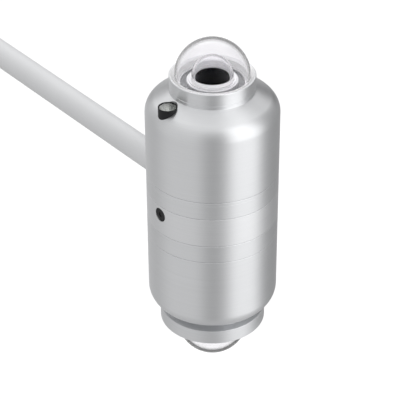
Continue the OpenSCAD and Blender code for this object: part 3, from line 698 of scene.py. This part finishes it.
def inside_surface(o, mat, middle):
    """Gives the faces that look at a dome's own centre the inner surface's material, and its cemented skirt a pale one."""
    o.data.materials.append(M[mat])
    o.data.materials.append(M["ground_skirt"])
    for f in o.data.polygons:
        c = f.center / MM
        r = math.hypot(c.x, c.y)
        if abs(c.z) < middle - 0.1:
            f.material_index = 2
        elif f.normal.x * c.x + f.normal.y * c.y < -1e-4 or (r < 1.5 and f.normal.z * c.z < 0):
            f.material_index = 1


for lo in (False, True):
    zc = seat(lo) + 4.3
    o = lathe(which(lo) + "_outer_dome_glass", None, 192, BODY, segs=dome_section(zc, 2.98, DOME, DOME_T, lo))
    dress(o, "lower_dome_glass" if lo else "dome_glass", which(lo) + "_head", [which(lo) + "_outer_dome"])
    inside_surface(o, "dome_glass_inside", zc)
    o = lathe(which(lo) + "_inner_dome_glass", None, 144, BODY, segs=dome_section(zc, 1.99, INNER, INNER_T, lo))
    dress(o, "small_dome_glass", which(lo) + "_head", [which(lo) + "_inner_dome"])
    inside_surface(o, "small_dome_glass_inside", zc)

# ---- sensors ----------------------------------------------------------------------------------------------
for lo in (False, True):
    z, deck, hb = seat(lo), seat(lo) + 1.8, which(lo) + "_head"
    pts = [(3, 60), (11.5, 60), (11.5, 52), (14, 52, 0.2), (14, 44.5, 0.3), (23, 44.5, 0.3), (23, 47.98, 0.3), (17.4, 47.98, 0.3),
           (17.4, z, 0.1), (13, z, 0.15), (13, deck, 0.12), (7.6, deck, 0.1), (7.6, deck - 2), (3, deck - 2)]
    o = lathe(which(lo) + "_heat_sink", pts, 160, BODY, down=lo)
    cutters = []
    for a in (90, 210, 330):
        x, y = AX + 20 * math.cos(math.radians(a)), 20 * math.sin(math.radians(a))
        cutters.append(bore(1.6, 40, 52, (x, y, 0), steps=32) if not lo else bore(1.6, -52, -40, (x, y, 0), steps=32))
    for a in (0, 180):
        x = AX + 12.75 * math.cos(math.radians(a))
        cutters.append(bore(1.0, 50, 56, (x, 0, 0), steps=24) if not lo else bore(1.0, -56, -50, (x, 0, 0), steps=24))
    cut(o, cutters)
    dress(o, "machined", hb, [which(lo) + "_sensor_body"])
    o.data.materials.append(M["sensor_bright"])    # the raised deck and its wall
    for f in o.data.polygons:
        c = f.center / MM
        if math.hypot(c.x, c.y) < 13.3 and abs(c.z) > z + 0.05:
            f.material_index = 1
    pts = [(7.6, 0), (13, 0), (13, 0.35, 0.06), (12.7, 0.55, 0.06), (12, 0.55, 0.05), (11.9, 0.95, 0.06), (INNER + 0.2, 0.95, 0.05),
           (INNER + 0.15, 0.5), (INNER - INNER_T - 0.15, 0.5), (INNER - INNER_T - 0.2, 1.35, 0.06), (ABS + 0.3, 1.35, 0.06),
           (ABS + 0.15, 1.2, 0.04), (ABS + 0.15, 0.6), (7.6, 0.6)]
    o = lathe(which(lo) + "_stepped_ring", [(p[0], p[1] + deck) + tuple(p[2:]) for p in pts], 160, BODY, down=lo)
    dress(o, "sensor_bright", hb, [which(lo) + "_sensor_ring"])
    pts = [(0, deck + 0.9), (ABS, deck + 0.9, 0.03), (ABS, deck + 2.2, 0.14), (0, deck + 2.2)]
    o = lathe(which(lo) + "_absorber_disc", pts, 128, BODY, down=lo)
    dress(o, "absorber_black", hb, [which(lo) + "_absorber"])

# ---- bubble level -------------------------------------------------------------------------------------------
LV = (AX - LEVEL_BACK, -LEVEL_AT, 0)
pts = [(0, 51.52), (LEVEL_R, 51.52, 0.1), (LEVEL_R, LEVEL_TOP, 0.3), (4.35, LEVEL_TOP, 0.12), (4.35, LEVEL_TOP - 1), (4, LEVEL_TOP - 1),
       (4, 57), (0, 57)]
o = lathe("level_cup_body", pts, 128, LV)
dress(o, "plug_black", "upper_head", ["level_cup"])
pts = [(0, LEVEL_TOP - 1), (4.33, LEVEL_TOP - 1, 0.05), (4.33, LEVEL_TOP - 0.25, 0.12), (0, LEVEL_TOP - 0.25)]
o = lathe("level_window", pts, 96, LV)
dress(o, "level_glass", "upper_head", ["level_glass"])
pts = [(2.15, LEVEL_TOP - 1.035), (2.45, LEVEL_TOP - 1.035), (2.45, LEVEL_TOP - 1.005), (2.15, LEVEL_TOP - 1.005)]
o = lathe("level_centre_circle", pts, 96, LV)
dress(o, "black_plastic", "upper_head")
pts = [(0, 57.02), (3.98, 57.02), (3.98, LEVEL_TOP - 1.02), (3.7, LEVEL_TOP - 1.02), (3.7, LEVEL_TOP - 2.1, 0.2), (0, LEVEL_TOP - 2.1)]
o = lathe("level_liquid_fill", pts, 96, LV)
dress(o, "level_liquid", "upper_head", ["level_fluid"])
bz = LEVEL_TOP - 1.55
pts = [(0, bz - 0.45), (1.0, bz - 0.4, 0.5), (1.45, bz - 0.2, 0.4), (1.6, bz + 0.1, 0.4), (1.5, bz + 0.4, 0.2), (1.25, bz + 0.5, 0.2), (0, bz + 0.5)]
o = lathe("level_air_bubble", pts, 64, LV)
dress(o, "bubble_air", "bubble", ["level_bubble"])

# ---- rod ----------------------------------------------------------------------------------------------------
pts = [(6, -40), (6.9, -40, 0.1), (7.5, -39.4, 0.15), (7.5, 259.5, 0.15), (7.1, 260, 0.1), (6, 260)]
segs = corner_path([(p[0], p[1]) + tuple(p[2:]) for p in pts])
o = lathe("rod_tube_coated", None, 128, (0, 0, 0), TO_BODY, segs=segs)
dress(o, "rod_coat", "rod", ["rod_tube"])

# saddle: a short turned neck whose end follows the block's round wall
pts = [(6.02, 260.05), (7.3, 260.05, 0.06), (7.3, 260.45), (7.5, 260.45, 0.1), (7.5, 268, 0.1), (6.02, 268)]
o = lathe("rod_saddle_neck", pts, 128, (0, 0, 0), TO_BODY)
cut(o, [bore(R + 0.02, -20, 20, BODY, steps=360)])
dress(o, "anodised_rod", "block", ["rod_saddle"])

# ---- cable gland ----------------------------------------------------------------------------------------------


def hex_ring(name, across, r_round, z0, z1, bore_r, cap=None):
    """A hollow turned ring with rounded corners and an optional tapered cap; the hexagon's flats are cut from it
    afterwards by a boolean.
    """
    pts = [(bore_r, z0), (r_round - 0.6, z0, 0.05), (r_round, z0 + 0.5, 0.1), (r_round, z1 - 0.5, 0.1), (r_round - 0.6, z1, 0.05)]
    if cap:
        pts += [(cap[0], z1, 0.15), (cap[0], z1 + 1.0, 0.6), (cap[1], cap[2], 0.5), (4.0, cap[2], 0.15), (4.0, cap[3], 0.1)]
        pts += [(bore_r, cap[3])]
    else:
        pts += [(bore_r, z1)]
    return lathe(name, pts, 144, (-40, 0, 0), TO_REAR)


nut = hex_ring("gland_dome_nut", 7.7, 7.3, 5.3, 12.7, 5.03, (6.6, 5.2, 16.6, 12.3))


flats = solid("cutter", lambda bm: (cone(bm, 4.9, 12.75, 7.7, 7.7, 6), None), (-40, 0, 0), TO_REAR)
keep = solid("keep", lambda bm: (cone(bm, 12.7, 20, 9, 9, 48), None), (-40, 0, 0), TO_REAR)
joiner = flats.modifiers.new("join", "BOOLEAN")
joiner.operation, joiner.solver, joiner.object = "UNION", "EXACT", keep
bpy.context.view_layer.update()
dg = bpy.context.evaluated_depsgraph_get()
both = bpy.data.meshes.new_from_object(flats.evaluated_get(dg), depsgraph=dg)
flats.modifiers.clear()
flats.data = both
bpy.data.objects.remove(keep)
cut(nut, [flats], "INTERSECT")
# shallow grip ribs on the cap's taper
ribs = []
for k in range(18):
    a = 2 * math.pi * k / 18
    m = TO_REAR @ Matrix.Rotation(a, 4, "Z")
    ribs.append(bore(0.22, 13.4, 17.2, Vector((-40, 0, 0)) + (m @ Vector((6.72, 0, 0))), m, 10))
cut(nut, ribs)
dress(nut, "black_plastic", "rod", ["gland_nut"])

pts = [(3.2, -15), (5.97, -15, 0.3), (5.97, 0.02), (7.0, 0.02, 0.05), (7.4, 0.35, 0.1), (7.4, 4.7, 0.1), (7.0, 5.02, 0.05), (5.0, 5.02, 0.1)]
z = 5.5
while z < 11.4:
    pts += [(5.0, z), (4.72, z + 0.3), (5.0, z + 0.6)]
    z += 0.75
pts += [(5.0, 11.8), (4.8, 12), (4, 12), (4, 6), (3.2, 6)]
gb = lathe("gland_hex_body", pts, 144, (-40, 0, 0), TO_REAR)
shell = solid("cutter", lambda bm: (cone(bm, -0.01, 5.1, 7.9, 7.9, 6), None), (-40, 0, 0), TO_REAR)
keep = solid("keep", lambda bm: (cone(bm, -16, 13, 6.2, 6.2, 64), None), (-40, 0, 0), TO_REAR)
joiner = shell.modifiers.new("join", "BOOLEAN")
joiner.operation, joiner.solver, joiner.object = "UNION", "EXACT", keep
bpy.context.view_layer.update()
dg = bpy.context.evaluated_depsgraph_get()
both = bpy.data.meshes.new_from_object(shell.evaluated_get(dg), depsgraph=dg)
shell.modifiers.clear()
shell.data = both
bpy.data.objects.remove(keep)
cut(gb, [shell], "INTERSECT")
dress(gb, "black_plastic", "rod", ["gland_body"])

pts = [(2.6, 6.1, 0.1), (3.97, 6.1, 0.2), (3.97, 17.1, 0.35), (3.3, 17.1, 0.2), (3.3, 16.6, 0.2), (2.6, 16.6, 0.25)]
o = lathe("gland_rubber_seal", pts, 96, (-40, 0, 0), TO_REAR)
dress(o, "rubber", "rod", ["gland_seal"])

# ---- port plug and lock screw ------------------------------------------------------------------------------------
pts = [(0, 21), (2.8, 21), (3, 21.2)]
z = 21.6
while z < 29.6:
    pts += [(3.0, z), (2.72, z + 0.28), (3.0, z + 0.56)]
    z += 0.7
pts += [(3, 31.25), (PORT_R, 31.25, 0.1), (PORT_R, 33.7, 0.4), (0, 33.7)]
o = lathe("port_plug_head", pts, 128, (AX, 0, PORT_Z), TO_FRONT)
hexcut = solid("cutter", lambda bm: (cone(bm, 33.4, 36, 1.4, 1.4, 6), None), (AX, 0, PORT_Z), TO_FRONT)
cut(o, [hexcut])
dress(o, "plug_black", "block", ["port_plug"])

pts = [(0, 5.45), (1.2, 5.45, 0.15), (1.2, 7), (1.3, 7), (2.47, 8.2)]
z = 8.6
while z < 21:
    pts += [(2.47, z), (2.2, z + 0.26), (2.47, z + 0.52)]
    z += 0.7
pts += [(2.47, 21.7), (2.2, 22), (0, 22)]
o = lathe("lock_screw_threaded", pts, 96, (AX - 23, 0, 0), TO_BACK)
hexcut = solid("cutter", lambda bm: (cone(bm, 18.6, 24, 1.45, 1.45, 6), None), (AX - 23, 0, 0), TO_BACK)
cut(o, [hexcut])
dress(o, "black_steel", "lock_screw", ["rod_lock_screw"])

# ---- CAD nodes that stay: better materials -------------------------------------------------------------------------
SLOT_TO = {
    "steel": "steel", "black_steel": "black_steel", "rubber": "rubber", "black_plastic": "black_plastic",
    "lead_red": "lead_red", "substrate": "substrate", "board_green": "board_green", "machined": "machined_cad",
    "anodised": "anodised_cad", "rod_coat": "rod_coat", "dome_glass": "dome_glass", "absorber_black": "absorber_black",
    "sensor_bright": "sensor_bright", "level_liquid": "level_liquid", "bubble_air": "bubble_air",
}
for name, o in NODES.items():
    if o.hide_render:
        continue
    for i, m in enumerate(o.data.materials):
        key = m.name.split(".")[0]
        o.data.materials[i] = M["machined_x" if name == "rod_spigot" else SLOT_TO[key]]

skirt_painted_glow = M["ground_skirt"].node_tree.nodes     # painted light: a faint white glow on the ground glass skirt, which is no lamp
for n in skirt_painted_glow:
    if n.type == "BSDF_PRINCIPLED":
        n.inputs["Emission Color"].default_value = (1.0, 1.0, 1.0, 1.0)
        n.inputs["Emission Strength"].default_value = 0.14

# ---- floor, camera, light ------------------------------------------------------------------------------------------
CAM_AZ = math.radians(-38.8)


def floor_sheet(bm):
    bmesh.ops.create_grid(bm, x_segments=24, y_segments=24, size=14000)


floor = solid("floor", floor_sheet, (AX, 0, -3000))
fm = Mat("pale_floor", Roughness=0.9)
fm.set(Specular_IOR_Level=0.1, Emission_Strength=0.25, Emission_Color=(1.0, 1.0, 1.0))
fm.xyz()
fn = fm.noise(fm.vec, 0.004, 2.0, 0.5)
fm.wire(fm.ramp(fn, (0.3, (0.86, 0.86, 0.865)), (0.7, (0.9, 0.9, 0.9))), fm.b.inputs["Base Color"])
floor.data.materials.append(fm.m)
floor.visible_glossy = False
floor.visible_diffuse = False

world = bpy.data.worlds.new("studio")
scene.world = world
world.use_nodes = True
wt = world.node_tree
wt.nodes.clear()


class World(Mat):
    def __init__(self, tree):
        self.t = tree


w = World(wt)
wout = wt.nodes.new("ShaderNodeOutputWorld")
bg = wt.nodes.new("ShaderNodeBackground")
tc = wt.nodes.new("ShaderNodeTexCoord")
sep = wt.nodes.new("ShaderNodeSeparateXYZ")
w.wire(tc.outputs["Generated"], sep.inputs[0])
dx, dy, dz = sep.outputs
elev = w.math("MULTIPLY", w.math("ARCSINE", dz), 180 / math.pi)


def soft(v, a, b, lo, hi):
    n = w.node("ShaderNodeMapRange", interpolation_type="SMOOTHSTEP")
    w.wire(v, n.inputs[0])
    for i, x in enumerate((a, b, lo, hi)):
        n.inputs[i + 1].default_value = x
    return n.outputs[0]


def box_light(az, half_az, fade_az, el, half_el, fade_el, level):
    """A soft-edged panel: az is degrees to the right of the camera, el is degrees above the horizon."""
    a = CAM_AZ + math.radians(az)
    ca, sa = math.cos(a), math.sin(a)
    fx = w.math("ADD", w.math("MULTIPLY", dx, ca), w.math("MULTIPLY", dy, sa))
    fy = w.math("SUBTRACT", w.math("MULTIPLY", dy, ca), w.math("MULTIPLY", dx, sa))
    off = w.math("MULTIPLY", w.math("ABSOLUTE", w.math("ARCTAN2", fy, fx)), 180 / math.pi)
    up = w.math("ABSOLUTE", w.math("SUBTRACT", elev, el))
    return w.math("MULTIPLY", soft(off, half_az - fade_az, half_az + fade_az, level, 0.0), soft(up, half_el - fade_el, half_el + fade_el, 1.0, 0.0))


# base: dim below, an even pale band at eye level, a little more above
env = w.math("ADD", soft(elev, -80, -22, 0.56, 0.52), soft(elev, -5, 60, 0.0, 0.10))
for spec in (
    (56, 28, 16, 12, 48, 16, 0.92),     # key panel, right of the camera
    (-55, 40, 22, 0, 52, 18, 0.17),     # wide fill, left
    (-160, 30, 18, 5, 50, 20, 0.06),    # behind, left
    (180, 36, 10, 44, 16, 8, 1.1),      # back light, high behind the object
    (0, 180, 1, 82, 30, 14, 0.28),      # overhead
):
    env = w.math("ADD", env, box_light(*spec))
for spec in (
    (-2, 14, 12, -10, 44, 16, 0.12),    # the darker gap where the camera stands
    (134, 30, 18, -5, 50, 20, 0.17),    # flag, right and behind
    (180, 34, 8, 8, 13, 8, 0.34),       # dark card, low behind the object
):
    env = w.math("SUBTRACT", env, box_light(*spec))
env = w.math("MAXIMUM", env, 0.02)
lp = wt.nodes.new("ShaderNodeLightPath")
mix = wt.nodes.new("ShaderNodeMix")
mix.data_type = "FLOAT"
w.wire(lp.outputs["Is Camera Ray"], mix.inputs["Factor"])
w.wire(w.math("ADD", env, w.math("MULTIPLY", lp.outputs["Is Transmission Ray"], 0.52)), mix.inputs["A"])    # more room light under glass
mix.inputs["B"].default_value = 1.0
w.wire(mix.outputs["Result"], bg.inputs["Strength"])
bg.inputs["Color"].default_value = (1.0, 1.0, 1.0, 1.0)
w.wire(bg.outputs[0], wout.inputs[0])

cam_data = bpy.data.cameras.new("camera")
cam = bpy.data.objects.new("camera", cam_data)
scene.collection.objects.link(cam)
cam_data.lens, cam_data.sensor_width = 145.23, 36.0
cam_data.shift_x = -0.0312
cam_data.clip_start, cam_data.clip_end = 0.05, 20.0
cam.location = (0.8423, -0.4376, 0.4587)
aim = Vector((0.298, 0.0, -0.00126))
cam.rotation_mode = "QUATERNION"
cam.rotation_quaternion = (aim - cam.location).to_track_quat("-Z", "Y")
scene.camera = cam

scene.view_settings.view_transform = "Standard"
scene.view_settings.look = "None"
